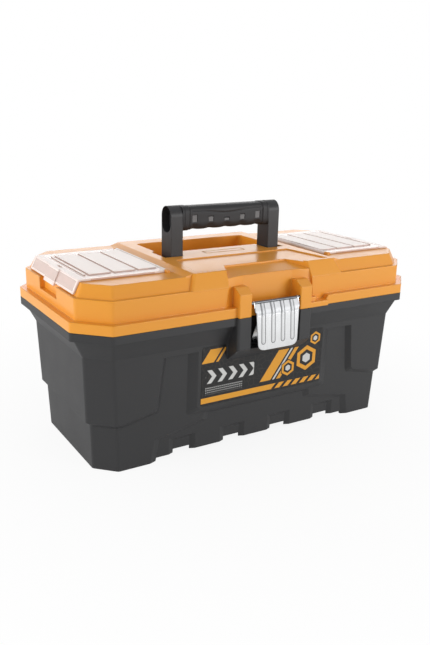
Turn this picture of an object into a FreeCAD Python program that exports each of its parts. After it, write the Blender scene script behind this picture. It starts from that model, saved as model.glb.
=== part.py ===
import FreeCAD, Part
import math
import os

os.makedirs("parts", exist_ok=True)
V = FreeCAD.Vector

# Sizes are in millimetres. X runs along the box, -Y faces the front, +Z is up.
# The origin is the centre of the footprint, on the ground.

# Overall envelope: an octagonal plan with its four corners cut at 45 degrees
rim_length = 406.0
rim_width = 205.4
corner_cut = 29.5
corner_round = 5.0
corner_lean = 0.017
skin = 2.5

# Gaps: between faces that stay apart, in turning fits, and past faces that a form cuts or joins
face_gap = 0.3
run_gap = 0.08
overrun = 1.0
bite = 0.5
hairline = 0.1

# Base tub
base_height = 145.25
band_height = 8.0
band_ledge = 4.0
cove_height = 19.25
cove_inset = 13.5
draft = 0.035
panel_step = 4.7
strip_height = 6.0
lip_height = 3.2
lip_gap = 0.7
lip_thickness = 1.5
floor_lift = 7.5

# Side panels: the crest of their sloping edge, measured from the end of the box
cap_top_from_end = 87.0
cap_corner_from_end = 80.0
cap_level_from_end = 43.0
cap_foot = 51.0
cap_corner_rise = 8.0
cap_corner_radius = 9.0

# Label pad on the front and the back
label_half = 78.5
label_flare = 9.5
label_foot = 50.5
label_foot_flare = 7.0
label_corner_radius = 9.0

# Shallow recess low on the front and the back
dip_step = 2.6
dip_flare_x = 6.5
dip_flare_z = 3.0
dip_lift = 3.5
dip_top = 44.0
dip_top_half = 67.0
dip_shoulder_half = 68.5
dip_shoulder_z = 36.3
dip_corner_from_end = 80.0
dip_corner_z = 25.3
dip_side_spread = 4.6

# Notches along the foot
notch_count = 4
notch_step = 2.3
notch_flare_x = 5.5
notch_flare_z = 3.5
notch_half = 15.2
notch_top = 21.2
notch_from_end = 112.7

# Latch block on the front of the base
block_half = 45.2
block_proud = 4.0
block_drop = 32.25
block_ramp = 14.0
block_round = 3.0
channel_half = 30.0
channel_inset = 6.7
channel_drop = 32.75
catch_half = 20.0
catch_drop = 26.25
catch_height = 4.5
catch_reach = 1.9

# Lid shell
rim_height = 9.75
tier_inset = 6.2
tier_rise = 20.5
organiser_inset = 10.3
organiser_slope = 5.7
organiser_rise = 11.9
centre_half = 91.3
centre_rise = 2.8
centre_slant = 6.3
centre_recline = 7.4
centre_round = 3.0
shoulder_width = 9.0
roof_panel_depth = 1.2
roof_panel_length = 59.1
roof_panel_half = 70.0
roof_panel_flare = 10.0
roof_panel_margin = 4.0
roof_panel_round = 2.0
plate_half = 25.0
plate_width = 11.0
plate_round = 2.0
plate_groove = 1.3
plate_forward = 4.5
plate_groove_depth = 1.1
end_notch_half = 24.0
end_notch_rise = 8.7
end_notch_depth = 5.0
side_dip_start = 53.0
side_dip_end = 66.0
side_dip_slope = 3.0
side_dip_depth = 4.3
side_pad_proud = 3.8

# Latch scoop and lugs in the lid front
scoop_half = 52.6
scoop_middle_half = 29.4
scoop_inset = 12.7
scoop_wall_lean = 0.8
scoop_lean = 4.0
scoop_knee_drop = 7.0
scoop_top_half = 49.5
scoop_ramp_half = 37.6
scoop_ramp_inset = 36.5
scoop_lip = 3.0
slot_rise = 6.45
lug_round = 1.0
lug_inner = 29.7
lug_width = 14.2
lug_proud = 3.8
lug_front_rise = 13.2
lug_crest_rise = 19.0
lug_crest_inset = 5.2

# Organiser pockets and their covers
pocket_offset = 12.1
pocket_end_inset = 24.6
pocket_side_inset = 47.7
pocket_depth = 22.7
divider_count = 2
divider_thickness = 1.6
divider_drop = 1.5
cover_axis_offset = 7.5
cover_axis_lift = 0.5
cover_barrel = 2.3
cover_rod_radius = 1.0
cover_margin = 6.0
cover_barrel_inset = 3.0
cover_boss_length = 5.5
cover_skin = 1.6
cover_lip_gap = 1.2
cover_field_rise = 1.2
cover_field_margin = 8.0
cover_field_round = 3.0
cover_groove = 3.0
cover_groove_shift = 4.4
cover_tab_half = 14.0
cover_tab_drop = 1.0
cover_tab_proud = 1.4
cover_slot_length = 10.0
cover_slot_width = 2.4

# Handle well and carrying handle
pivot_y = -0.5
pivot_drop = 13.5
pivot_radius = 2.5
boss_radius = 5.0
boss_length = 5.0
pin_seat = 4.0
post_inner = 54.1
post_width = 13.9
post_depth = 21.0
handle_rise = 51.5
well_gap = 1.0
well_side_gap = 2.0
well_pin_gap = 7.0
well_wide_back = 24.0
well_end_gap = 5.5
well_depth = 27.5
well_round = 5.0
bridge_back = 12.0
cap_pocket_rim = 0.6
cap_pocket_length = 27.5
cap_pocket_depth = 9.0
grip_drop = 1.0
grip_height = 24.8
grip_depth = 20.6
grip_round = 6.0
core_height = 16.0
core_depth = 14.0
core_round = 3.0
collar_length = 8.0
collar_proud = 0.5
scallop_count = 4
scallop_pitch = 20.0
scallop_radius = 14.0
scallop_depth = 1.2
window_count = 5
window_pitch = 19.8
window_width = 5.6
window_tall = 7.5
window_short = 3.3
window_drop = 13.8
window_sag = 3.0
window_inset = 0.8

# Rear hinge
hinge_proud = 4.9
hinge_from_end = 91.0
hinge_knuckle = 4.3
hinge_pin_radius = 2.0
lid_knuckle_half = 8.0
base_knuckle_length = 9.0
knuckle_web_height = 6.0

# Latch: rod, ribbed lever, spring leaf and its rivets
rod_proud = 0.9
rod_rise = 12.65
rod_radius = 1.6
rod_seat = 8.0
lever_skin = 1.0
lever_top_half = 27.1
lever_half = 26.0
lever_foot_half = 23.6
lever_head_proud = 3.2
lever_head_drop = 0.6
lever_knee_proud = 6.6
lever_knee_drop = 8.9
lever_foot_proud = 9.0
lever_foot_drop = 47.2
lever_foot_round = 6.0
ear_radius = 3.2
rib_count = 4
rib_pitch = 9.6
rib_width = 3.4
rib_proud = 0.5
rib_top_margin = 2.0
rib_foot_margin = 5.0
leaf_skin = 0.6
leaf_half = 24.5
leaf_top_drop = 11.2
leaf_bend_drop = 17.7
leaf_tip_drop = 41.2
leaf_tip_inset = 4.4
leaf_bend_rise = 0.4
rivet_x = 12.0
rivet_radius = 1.6
rivet_head = 2.6
rivet_head_height = 0.8
rivet_stand = 0.15

# Sticker on the front panel
sticker_left = 74.5
sticker_right = 76.5
sticker_foot = 52.5
sticker_top_drop = 2.5
sticker_block_gap = 2.3
sticker_block_drop = 1.0
sticker_skin = 0.3
sticker_round = 3.0

# Lift-out tray and the brackets that it stands on
tray_end_gap = 9.0
tray_side_gap = 12.7
tray_cut = 18.0
tray_skin = 2.0
tray_drop = 11.25
tray_depth = 46.0
tray_rim = 4.0
tray_lean = 0.05
tray_shelf_grip = 4.0
tray_shelf_width = 60.0
tray_handle_half = 52.0
tray_handle_width = 16.0
tray_handle_rise = 16.0
tray_handle_grip = 9.0
tray_handle_gap = 30.0

# Levels and places that follow from the sizes
half_length = rim_length / 2
half_width = rim_width / 2
band_foot = base_height - band_height
cove_foot = band_foot - cove_height
strip_foot = cove_foot - strip_height
floor_top = floor_lift + skin
lip_inset = skin + lip_gap
mouth_inset = lip_inset + lip_thickness
lid_foot = base_height + face_gap
hinge_z = base_height + face_gap / 2
hinge_x = half_length - hinge_from_end
hinge_y = half_width + hinge_proud
notch_pitch = 2 * (half_length - notch_from_end) / (notch_count - 1)
rim_top = lid_foot + rim_height
tier_top = rim_top + tier_rise
organiser_top = tier_top + organiser_rise
centre_top = organiser_top + centre_rise
block_front = half_width + block_proud
block_foot = base_height - block_drop
channel_back = half_width - channel_inset
channel_foot = base_height - channel_drop
channel_guard = channel_half + skin
catch_z = base_height - catch_drop
scoop_wall = half_width - scoop_inset
scoop_knee = centre_top - scoop_knee_drop
scoop_ramp_back = half_width - scoop_ramp_inset
slot_foot = lid_foot + slot_rise
lug_outer = lug_inner + lug_width
lug_front = half_width + lug_proud
lug_front_top = rim_top + lug_front_rise
lug_crest_z = rim_top + lug_crest_rise
lug_crest_y = half_width - lug_crest_inset
pocket_start = centre_half + pocket_offset
pocket_end = half_length - pocket_end_inset
pocket_half = half_width - pocket_side_inset
pocket_floor = organiser_top - pocket_depth
divider_pitch = (pocket_end - pocket_start) / (divider_count + 1)
cover_half = pocket_half + cover_margin
cover_barrel_half = cover_half - cover_barrel_inset
cover_axis_x = centre_half + cover_axis_offset
cover_axis_z = organiser_top + cover_axis_lift
cover_under = organiser_top + face_gap
cover_top = cover_under + cover_skin
pivot_z = centre_top - pivot_drop
post_outer = post_inner + post_width
handle_top = centre_top + handle_rise
window_z = handle_top - window_drop
cap_pocket_foot = handle_top - cap_pocket_length
well_half = post_outer + well_side_gap
well_wide_half = post_outer + well_pin_gap
well_back = pivot_y + handle_top - pivot_z + well_end_gap
well_floor = centre_top - well_depth
rod_y = -half_width - rod_proud
rod_z = lid_foot + rod_rise
lever_head_y = -half_width - lever_head_proud
lever_head_z = rod_z - lever_head_drop
lever_knee_y = -half_width - lever_knee_proud
lever_knee_z = rod_z - lever_knee_drop
lever_foot_y = -half_width - lever_foot_proud
lever_foot_z = rod_z - lever_foot_drop
lever_slope = (lever_foot_y - lever_knee_y) / (lever_knee_z - lever_foot_z)
leaf_top_z = rod_z - leaf_top_drop
leaf_bend_z = rod_z - leaf_bend_drop
leaf_tip_z = rod_z - leaf_tip_drop
leaf_tip_y = leaf_tip_inset - half_width
rivet_z = (leaf_top_z + leaf_bend_z) / 2
sticker_top = cove_foot - sticker_top_drop
sticker_dip = block_foot - block_ramp - sticker_block_drop
tray_half_x = half_length - cove_inset - skin - tray_end_gap
tray_half_y = half_width - cove_inset - skin - tray_side_gap
tray_top = base_height - tray_drop
tray_foot = tray_top - tray_depth
tray_handle_top = tray_top + tray_handle_rise


def box(x0, x1, y0, y1, z0, z1):
    return Part.makeBox(x1 - x0, y1 - y0, z1 - z0, V(x0, y0, z0))


def rod_along_x(radius, x0, x1, y, z):
    return Part.makeCylinder(radius, x1 - x0, V(x0, y, z), V(1, 0, 0))


def rod_along_y(radius, y0, y1, x, z):
    return Part.makeCylinder(radius, y1 - y0, V(x, y0, z), V(0, 1, 0))


def joined(shapes):
    return shapes[0].multiFuse(shapes[1:]).removeSplitter()


def mirror_x(shape):
    return shape.mirror(V(0, 0, 0), V(1, 0, 0))


def mirror_y(shape):
    return shape.mirror(V(0, 0, 0), V(0, 1, 0))


def both_x(shape):
    return [shape, mirror_x(shape)]


def both_y(shape):
    return [shape, mirror_y(shape)]


def with_left(right):
    """Closed outline from its right half, given from the top round to the foot."""
    return [(-x, other) for x, other in reversed(right)] + right


def tapered(first, second, radius=0):
    """Solid with flat sides between two outlines; its side edges are rounded on request."""
    radii = radius if isinstance(radius, list) else [radius] * len(first)
    middles = [(first[i] + second[i]) / 2 for i, size in enumerate(radii) if size > 0]
    if area_vector(first).dot(second[0] - first[0]) < 0:
        first = list(reversed(first))
        second = list(reversed(second))
    loops = [list(reversed(first)), second]
    for index, corner in enumerate(first):
        after = (index + 1) % len(first)
        loops.append([corner, first[after], second[after], second[index]])
    faces = [Part.Face(Part.makePolygon(loop + [loop[0]])) for loop in loops]
    solid = Part.makeSolid(Part.makeShell(faces))
    if not middles:
        return solid
    return solid.makeFillet(max(radii), [edge_at(solid, middle) for middle in middles]).Solids[0]


def area_vector(points):
    """Vector square to an outline; it points to the side from which the outline runs left."""
    total = V(0, 0, 0)
    for index, point in enumerate(points):
        total = total + points[index - 1].cross(point)
    return total


def edge_at(shape, point):
    """The edge whose middle lies at a point."""
    return min(shape.Edges, key=lambda edge: edge.CenterOfMass.distanceToPoint(point))


def octagon(half_x, half_y, cut, z):
    quarter = [(half_x, half_y - cut), (half_x - cut, half_y)]
    loop = quarter + [(-x, y) for x, y in reversed(quarter)]
    loop = loop + [(-x, -y) for x, y in loop]
    return [V(x, y, z) for x, y in loop]


def plan(inset, z):
    """Outline of the box at a height, set in from the rim; below the cove the corners lean in."""
    lean = max(0, cove_foot - z) * corner_lean
    cut = corner_cut - (2 - math.sqrt(2)) * inset + math.sqrt(2) * lean
    return octagon(half_length - inset, half_width - inset, cut, z)


def ring(inset_low, z_low, inset_high, z_high):
    return tapered(plan(inset_low, z_low), plan(inset_high, z_high), corner_round)


def prism_xy(points, z0, z1, radius=0):
    return tapered([V(x, y, z0) for x, y in points], [V(x, y, z1) for x, y in points], radius)


def prism_xz(points, y0, y1, radius=0):
    return tapered([V(x, y0, z) for x, z in points], [V(x, y1, z) for x, z in points], radius)


def prism_yz(points, x0, x1, radius=0):
    return tapered([V(x0, y, z) for y, z in points], [V(x1, y, z) for y, z in points], radius)


def save(name, shape):
    shape.exportStep("parts/" + name + ".step")
    print(name, "solids", len(shape.Solids), "volume", round(shape.Volume), "valid", shape.isValid())


# Base tub

def panel_inset(z):
    return cove_inset + (cove_foot - z) * draft


def drafted(extra, z0, z1):
    return ring(panel_inset(z0) + extra, z0, panel_inset(z1) + extra, z1)


def mitre(inward):
    """Extra setback that keeps a wall's thickness behind an edge that slopes at 45 degrees."""
    return inward * (math.sqrt(2) - 1)


def on_front(points, depth):
    """Places on the front of the tub, a depth behind the drafted face of its panels."""
    return [V(x, panel_inset(z) + depth - half_width, z) for x, z in points]


def sloped_region(outline, flare_x, flare_z, depth, step, radii=0):
    """Region of the front half whose outline grows by a flare over the depth of a step."""
    lead = hairline / step
    near = outline(-lead * flare_x, -lead * flare_z)
    far = outline((1 + lead) * flare_x, (1 + lead) * flare_z)
    near_face = on_front(near, depth - hairline)
    far_face = on_front(far, depth + step + hairline)
    outside = tapered([V(x, -half_width, z) for x, z in near], near_face, radii)
    inside = tapered(far_face, [V(x, 0, z) for x, z in far], radii)
    return joined([outside, tapered(near_face, far_face, radii), inside])


def straight_region(outline, grow, radii=0):
    return prism_xz(outline(grow, grow), -half_width, 0, radii)


def cap_outline(across, down):
    """The side panels wrap each end of the tub down to a rounded lower corner."""
    corner_x = half_length - cap_corner_from_end
    corner_z = cap_foot + cap_corner_rise
    rise = cove_foot + 2 * panel_step - corner_z
    lean = (cap_top_from_end - cap_corner_from_end) / (cove_foot - corner_z)
    slope = cap_corner_rise / (cap_corner_from_end - cap_level_from_end)
    far_x = half_length + 2 * panel_step
    corners = [
        (corner_x - lean * rise, corner_z + rise),
        (corner_x, corner_z),
        (far_x, corner_z - slope * (far_x - corner_x)),
        (far_x, corner_z + rise),
    ]
    return [(x - across, z - down) for x, z in corners]


def end_cap(inward):
    """Side panel of one end; its free edges slope back to the wall."""
    radii = [0, cap_corner_radius, 0, 0]
    if inward > 0:
        body = drafted(inward, cap_foot + mitre(inward), cove_foot)
        region = straight_region(cap_outline, -mitre(inward), radii)
    else:
        low = cap_foot - panel_step - hairline
        slope = ring(panel_inset(low) + panel_step + hairline, low, panel_inset(cap_foot), cap_foot)
        body = joined([slope, drafted(0, cap_foot, cove_foot)])
        region = sloped_region(cap_outline, panel_step, panel_step, 0, panel_step, radii)
    return body.common(joined(both_y(region)))


def label_outline(across, down):
    half = label_half + across
    foot = label_foot - down
    return [(-half, cove_foot), (half, cove_foot), (half, foot), (-half, foot)]


def label_pads(inward):
    radii = [0, 0, label_corner_radius, label_corner_radius]
    body = drafted(inward, label_foot - label_foot_flare - overrun, cove_foot)
    if inward > 0:
        region = straight_region(label_outline, -mitre(inward), radii)
    else:
        region = sloped_region(label_outline, label_flare, label_foot_flare, 0, panel_step, radii)
    return [body.common(side) for side in both_y(region)]


def dip_outline(across, upward):
    """Edge of the recess low on the tub; its lower ends lie below the ground."""
    corner_x = half_length - dip_corner_from_end
    corners = [
        (dip_top_half, dip_top),
        (dip_shoulder_half, dip_shoulder_z),
        (corner_x, dip_corner_z),
        (corner_x + 2 * dip_side_spread, -dip_corner_z),
    ]
    return with_left([(x + across, z + upward) for x, z in corners])


def notch_outline(centre, across, upward):
    half = notch_half + across
    top = notch_top + upward
    low = -overrun
    return [(centre - half, low), (centre - half, top), (centre + half, top), (centre + half, low)]


def sunk(solid, outline, flare_x, flare_z, depth, step, inward):
    """Solid with a recess cut into its front and back."""
    if inward > 0:
        region = straight_region(outline, mitre(inward))
    else:
        region = sloped_region(outline, -flare_x, -flare_z, depth, step)
    return solid.cut(both_y(region))


def tub_form(inward, bottom):
    """Walls of the tub below the cove. The same form, set inward, is the cavity."""
    dip_depth = panel_step + dip_step
    wall = drafted(panel_step + inward, bottom, cove_foot)
    wall = sunk(wall, dip_outline, dip_flare_x, dip_flare_z, panel_step, dip_step, inward)
    low = drafted(dip_depth + inward, max(bottom, dip_lift), dip_top + skin)
    for index in range(notch_count):
        centre = (index - (notch_count - 1) / 2) * notch_pitch
        low = sunk(low, lambda across, upward: notch_outline(centre, across, upward),
                   notch_flare_x, notch_flare_z, dip_depth, notch_step, inward)
    foot = drafted(dip_depth + notch_step + inward, max(bottom, floor_lift), dip_top)
    return joined([wall, low, foot] + label_pads(inward) + both_x(end_cap(inward)))


def cove(inward):
    """Flare that carries the wall out to the underside of the rim band."""
    return ring(cove_inset + inward, cove_foot, band_ledge + inward, band_foot)


def latch_block():
    """Block on the tub's front that carries the latch channel between two cheeks."""
    back = -half_width + cove_inset + skin
    foot = block_foot - block_ramp
    block = prism_yz([(back, base_height), (-block_front, base_height), (-block_front, block_foot),
                      (back - skin, foot), (back, foot)], -block_half, block_half)
    edge_y = hairline - block_front
    corners = [e for e in block.Edges if e.BoundBox.ZLength > skin and e.BoundBox.YMax < edge_y]
    return block.makeFillet(block_round, corners)


def tub_outside():
    band = ring(0, band_foot, 0, base_height)
    strip = drafted(0, strip_foot, cove_foot)
    lip = ring(lip_inset, band_foot, lip_inset, base_height + lip_height)
    latch_gap = box(-channel_guard, channel_guard, -half_width, skin - channel_back,
                    base_height, base_height + lip_height)
    return joined([tub_form(0, 0), strip, cove(0), band, lip.cut(latch_gap), latch_block()])


def tub_cavity():
    throat_inset = band_ledge + skin
    throat_top = band_foot + throat_inset - mouth_inset
    throat = ring(throat_inset, band_foot, mouth_inset, throat_top)
    shaft = ring(mouth_inset, throat_top, mouth_inset, base_height + lip_height + overrun)
    strip = drafted(skin, strip_foot + skin, cove_foot)
    cavity = joined([tub_form(skin, floor_top), strip, cove(skin), throat, shaft])
    guard = box(-channel_guard, channel_guard, -half_width, skin - channel_back,
                channel_foot - skin, base_height)
    return cavity.cut(guard)


def hollow_under_floor():
    """Shallow hollow under the floor, inside the rim that the box stands on."""
    half_y = half_width - panel_inset(0) - panel_step - dip_step - skin
    room = drafted(panel_step + skin, -overrun, floor_lift)
    return room.common(box(-half_length, half_length, -half_y, half_y, -overrun, floor_lift))


def make_base():
    cheek = box(channel_guard, block_half - skin, skin - block_front, skin - channel_back,
                block_foot + skin, base_height - skin)
    channel = box(-channel_half, channel_half, -block_front - overrun, -channel_back,
                  channel_foot, base_height + overrun)
    tub = tub_outside().cut([tub_cavity(), channel, hollow_under_floor()] + both_x(cheek))
    root = bite - channel_back
    catch = prism_yz([(root, catch_z), (-channel_back - catch_reach, catch_z),
                      (-channel_back, catch_z + catch_height), (root, catch_z + catch_height)],
                     -catch_half, catch_half)
    return add_base_hinges(joined([tub, catch] + both_x(tray_shelf())))


def tray_shelf():
    """Bracket at each end of the tub that the tray stands on."""
    root = half_length - panel_inset(tray_foot) - skin + overrun
    tip = tray_half_x - tray_depth * tray_lean - tray_shelf_grip
    under = tray_foot - skin
    return prism_xz([(root, tray_foot), (tip, tray_foot), (tip, under), (root, under - (root - tip))],
                    -tray_shelf_width / 2, tray_shelf_width / 2)


def add_base_hinges(tub):
    parts = [tub]
    bores = []
    inner = lid_knuckle_half + face_gap
    outer = inner + base_knuckle_length
    for centre in (-hinge_x, hinge_x):
        for start in (centre - outer, centre + inner):
            end = start + base_knuckle_length
            parts.append(box(start, end, half_width - skin, hinge_y, base_height - knuckle_web_height,
                             base_height))
            parts.append(rod_along_x(hinge_knuckle, start, end, hinge_y, hinge_z))
        span = outer + overrun
        bores.append(rod_along_x(hinge_pin_radius, centre - span, centre + span, hinge_y, hinge_z))
    return joined(parts).cut(bores)


# Lid shell

def centre_section(inward):
    """Raised middle of the lid with reclined faces all round."""
    loops = []
    for z in (tier_top - overrun, centre_top - inward):
        share = (z - tier_top) / (centre_top - tier_top)
        half_x = centre_half - centre_slant * share - inward
        half_y = half_width - tier_inset - centre_recline * share - inward
        corners = [(half_x, half_y), (-half_x, half_y), (-half_x, -half_y), (half_x, -half_y)]
        loops.append([V(x, y, z) for x, y in corners])
    return tapered(loops[0], loops[1], centre_round)


def lid_form(inward):
    """Stepped outside of the lid. The same form, set inward, is the hollow inside it."""
    low = lid_foot if inward == 0 else lid_foot - overrun
    top_inset = organiser_inset + organiser_slope
    rim = ring(inward, low, inward, rim_top - inward)
    tier = ring(tier_inset + inward, low, tier_inset + inward, tier_top - inward)
    block = ring(organiser_inset + inward, tier_top - inward, top_inset + inward, organiser_top - inward)
    return joined([rim, tier, block, centre_section(inward)])


def well_form(grow):
    """Handle well: a wide pocket round the pivots, a bridge between them, a bay behind."""
    front = pivot_y - post_depth / 2 - well_gap - grow
    wide = well_wide_half + grow
    half = well_half + grow
    slot = post_inner - well_gap - grow
    jog = well_wide_back + grow
    step = well_wide_half - well_half
    back = well_back + grow
    ledge = bridge_back - grow
    right = [(half, back), (half, jog), (wide, jog - step), (wide, front), (slot, front), (slot, ledge)]
    left = [(-x, y) for x, y in reversed(right)]
    round_back = well_round + grow
    radii = [round_back] + [0] * (len(right) + len(left) - 2) + [round_back]
    return prism_xy(right + left, well_floor - grow, centre_top + overrun, radii)


def scoop_form(grow):
    """Hollow in the lid front that holds the latch, open to the front and the top."""
    front = -half_width - 2 * skin
    edge_low = half_width - tier_inset
    edge_high = edge_low - scoop_lean
    loops = []
    for z, half, edge, middle in ((rim_top - grow, scoop_half, edge_low, scoop_wall),
                                  (scoop_knee, scoop_top_half, edge_high, scoop_wall - scoop_wall_lean)):
        side = [(half + grow, front), (half + grow, grow - edge), (scoop_middle_half + grow / 2, grow - middle)]
        loop = side + [(-x, y) for x, y in reversed(side)]
        loops.append(Part.makePolygon([V(x, y, z) for x, y in loop + [loop[0]]]))
    lower = Part.makeLoft(loops, True, True)

    top = centre_top + overrun
    ramp_back = grow - scoop_ramp_back
    ramp_z = centre_top - scoop_lip - grow
    slope = (centre_top - scoop_lip - scoop_knee) / (scoop_wall - scoop_ramp_back)
    side = [(scoop_top_half + grow, front), (scoop_top_half + grow, grow - scoop_wall),
            (scoop_ramp_half + grow, ramp_back)]
    outline = side + [(-x, y) for x, y in reversed(side)]
    ramp = prism_yz([(ramp_back, ramp_z), (ramp_back, top), (front, top),
                     (front, ramp_z - slope * (ramp_back - front))], -half_length, half_length)
    upper = prism_xy(outline, scoop_knee - 2 * skin, top).common(ramp)
    slot = box(-lug_inner - grow, lug_inner + grow, front, grow - edge_low, slot_foot - grow, rim_top)
    return joined([lower, upper, slot])


def lug():
    """Ear of the lid beside the latch, which holds one end of its rod."""
    inside = skin - half_width
    root = overrun - scoop_wall
    under = rim_top - overrun
    shape = prism_yz([(inside, lid_foot), (-lug_front, lid_foot), (-lug_front, lug_front_top),
                      (-lug_crest_y, lug_crest_z), (root, lug_crest_z), (root, under), (inside, under)],
                     lug_inner, lug_outer)
    corners = [e for e in shape.Edges if e.BoundBox.ZLength > lug_width and e.BoundBox.YMax < -lug_crest_y]
    return shape.makeFillet(lug_round, corners)


def end_notch(grow):
    """Finger notch in the end of the lid under a cover's snap tab."""
    inner = half_length - tier_inset - end_notch_depth - grow
    return box(inner, half_length, -end_notch_half - grow, end_notch_half + grow,
               rim_top + end_notch_rise - grow, tier_top + hairline - grow)


def pocket(grow):
    return box(pocket_start - grow, pocket_end + grow, -pocket_half - grow, pocket_half + grow,
               pocket_floor - grow, centre_top)


def cover_groove_form(grow):
    """Groove that a cover's hinge sleeve turns in."""
    reach = cover_barrel + face_gap + grow
    half = cover_barrel_half + face_gap + grow
    return box(cover_axis_x - reach, cover_axis_x + reach, -half, half, cover_axis_z - reach, centre_top)


def pivot_bosses():
    """Solid seats in the lid for the handle pins, on both sides of each post."""
    bosses = []
    for inner, outer in ((post_inner - well_gap - boss_length, post_inner - well_gap),
                         (well_wide_half, well_wide_half + boss_length)):
        bosses += both_x(rod_along_x(boss_radius, inner, outer, pivot_y, pivot_z))
    return bosses


def shoulder():
    """Sloping shoulder between the middle of the lid and one organiser block."""
    top_x = centre_half - centre_slant
    foot_x = top_x + shoulder_width
    half_y = half_width - organiser_inset - organiser_slope
    low = organiser_top - overrun
    return prism_xz([(top_x - skin, low), (top_x - skin, centre_top), (top_x, centre_top),
                     (foot_x, organiser_top), (foot_x, low)], -half_y, half_y)


def roof_cuts():
    """Shallow panel in the roof behind the latch, and the groove round a plate on the bridge."""
    front = -half_width + tier_inset + centre_recline + roof_panel_margin
    back = front + roof_panel_length
    wide = roof_panel_half + roof_panel_flare
    panel = prism_xy([(roof_panel_half, back), (-roof_panel_half, back), (-wide, front), (wide, front)],
                     centre_top - roof_panel_depth, centre_top + overrun, roof_panel_round)
    return [panel, plate_form(0).cut(plate_form(plate_groove))]


def plate_form(inward):
    half_x = plate_half - inward
    half_y = plate_width / 2 - inward
    plate_y = pivot_y - plate_forward
    corners = [(half_x, half_y), (-half_x, half_y), (-half_x, -half_y), (half_x, -half_y)]
    return prism_xy([(x, plate_y + y) for x, y in corners], centre_top - plate_groove_depth,
                    centre_top + overrun, plate_round - inward)


def side_dip():
    """Dip in the rim beside the right lug."""
    floor = rim_top - side_dip_depth
    top_end = side_dip_end + side_dip_slope
    return prism_xz([(side_dip_start, floor), (side_dip_end, floor), (top_end, rim_top),
                     (top_end, rim_top + overrun), (side_dip_start, rim_top + overrun)],
                    -half_width - side_pad_proud - overrun, hairline - half_width + tier_inset)


def side_dip_guard():
    """Keeps the wall whole behind the dip in the rim."""
    return box(side_dip_start - skin, side_dip_end + side_dip_slope + skin, -half_width,
               skin - half_width + tier_inset, rim_top - side_dip_depth - skin, rim_top)


def make_lid():
    pad = box(lug_outer - overrun, side_dip_end, -half_width - side_pad_proud, overrun - half_width,
              lid_foot, rim_top - side_dip_depth)
    outer = joined([lid_form(0), pad] + both_x(shoulder()))
    guards = both_x(pocket(skin)) + both_x(cover_groove_form(skin)) + both_x(end_notch(skin))
    guards += [well_form(skin), scoop_form(skin), side_dip_guard()] + pivot_bosses()
    hollows = both_x(pocket(0)) + both_x(cover_groove_form(0)) + both_x(end_notch(0))
    hollows += [well_form(0), scoop_form(0), side_dip()] + roof_cuts()
    lid = outer.cut([lid_form(skin).cut(guards)]).cut(hollows)
    pieces = [lid] + both_x(lug()) + lid_dividers() + cover_bosses() + lid_knuckles()

    bores = [rod_along_x(hinge_pin_radius + run_gap, -half_length, half_length, hinge_y, hinge_z)]
    bores.append(make_latch_rod())
    for side in (-1, 1):
        bores += [make_handle_pin(side), make_cover_rod(side)]
    return joined(pieces).cut(bores)


def lid_dividers():
    """Walls that split each organiser pocket into equal cells."""
    walls = []
    half = divider_thickness / 2
    for index in range(divider_count):
        centre = pocket_start + (index + 1) * divider_pitch
        walls += both_x(box(centre - half, centre + half, -pocket_half - bite, pocket_half + bite,
                            pocket_floor - bite, organiser_top - divider_drop))
    return walls


def cover_bosses():
    """Seats on the roof for the ends of the cover rods."""
    bosses = []
    start = cover_barrel_half + face_gap
    end = start + cover_boss_length
    for x in (-cover_axis_x, cover_axis_x):
        bosses += both_y(rod_along_y(cover_barrel, start, end, x, cover_axis_z))
        bosses += both_y(box(x - cover_barrel, x + cover_barrel, start, end,
                             organiser_top - overrun, cover_axis_z))
    return bosses


def lid_knuckles():
    knuckles = []
    for x in (-hinge_x, hinge_x):
        start = x - lid_knuckle_half
        end = x + lid_knuckle_half
        knuckles.append(box(start, end, half_width - skin, hinge_y, lid_foot, lid_foot + knuckle_web_height))
        knuckles.append(rod_along_x(hinge_knuckle, start, end, hinge_y, hinge_z))
    return knuckles


def make_hinge_pin(side):
    span = lid_knuckle_half + face_gap + base_knuckle_length
    return rod_along_x(hinge_pin_radius, side * hinge_x - span, side * hinge_x + span, hinge_y, hinge_z)


# Organiser covers

def end_x(z):
    """Where the organiser block's sloping end lies at a height."""
    lean = organiser_slope / (organiser_top - tier_top)
    return half_length - organiser_inset - organiser_slope + (organiser_top - z) * lean


def cover_shell():
    """Plate over the pocket, a lip down the sloping end and the snap tab."""
    plate = box(cover_axis_x, end_x(organiser_top), -cover_half, cover_half, cover_under, cover_top)
    outside = cover_skin + face_gap
    start = end_x(cover_under) + face_gap - overrun
    lip_foot = tier_top + cover_lip_gap
    lip = prism_xz([(start, cover_under),
                    (end_x(cover_under) + face_gap, cover_under),
                    (end_x(lip_foot) + face_gap, lip_foot),
                    (end_x(lip_foot) + outside, lip_foot),
                    (end_x(cover_top) + outside, cover_top),
                    (start, cover_top)], -cover_half, cover_half)
    tab_out = outside + cover_tab_proud
    tab_foot = tier_top - cover_tab_drop
    tab = prism_xz([(end_x(cover_top) + face_gap, cover_top),
                    (end_x(cover_top) + tab_out, cover_top),
                    (end_x(tier_top) + tab_out, tier_top),
                    (end_x(tier_top) + tab_out, tab_foot),
                    (end_x(tier_top) + tab_out - cover_skin, tab_foot),
                    (end_x(tier_top) + face_gap, tier_top)],
                   -cover_tab_half, cover_tab_half)
    return [plate, lip, tab]


def cover_field(inward, z0, z1):
    """Raised field of a cover, with rounded corners."""
    start = pocket_start - overrun + inward
    end = pocket_end - overrun - inward
    half = pocket_half - cover_field_margin - inward
    corners = [(start, -half), (end, -half), (end, half), (start, half)]
    return prism_xy(corners, z0, z1, cover_field_round - inward / 2)


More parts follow.
